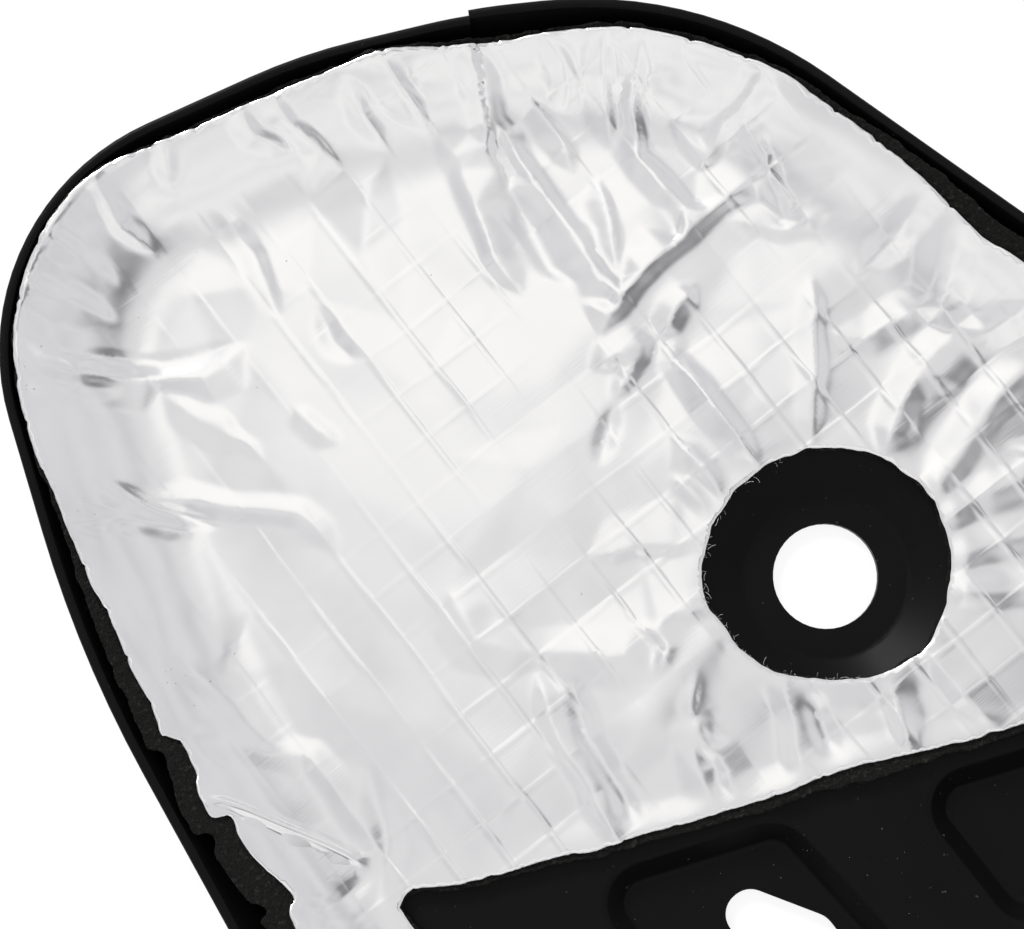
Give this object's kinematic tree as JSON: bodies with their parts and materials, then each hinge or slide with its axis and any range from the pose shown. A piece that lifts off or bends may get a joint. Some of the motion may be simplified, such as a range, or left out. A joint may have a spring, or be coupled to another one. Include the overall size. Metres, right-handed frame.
{
  "type": "heat shield",
  "caption": "Moulded plastic tray with a creased foil-faced foam pad, a dished bolt hole and a window; keeps heat off what it covers.",
  "frame": {"origin": "centre of the bolt hole in the plane of the dish's underside, which is the mounting plane", "axes": "+Z out of the foil side along the bolt hole, +Y along the part towards its narrow rounded end, +X to the right of that seen from the foil side"},
  "size_m": [0.2543, 0.272, 0.021],
  "materials": {
    "black_plastic": "satin black, as moulded",
    "black_foam": "closed-cell foam, cut edge with open pores",
    "aluminium_foil": "bright foil, creased, over a thread grid"
  },
  "bodies": {
    "root": {"moulded_shell": "black_plastic", "foam_pad": "black_foam", "foil_facing": "aluminium_foil"}
  },
  "joints": []
}
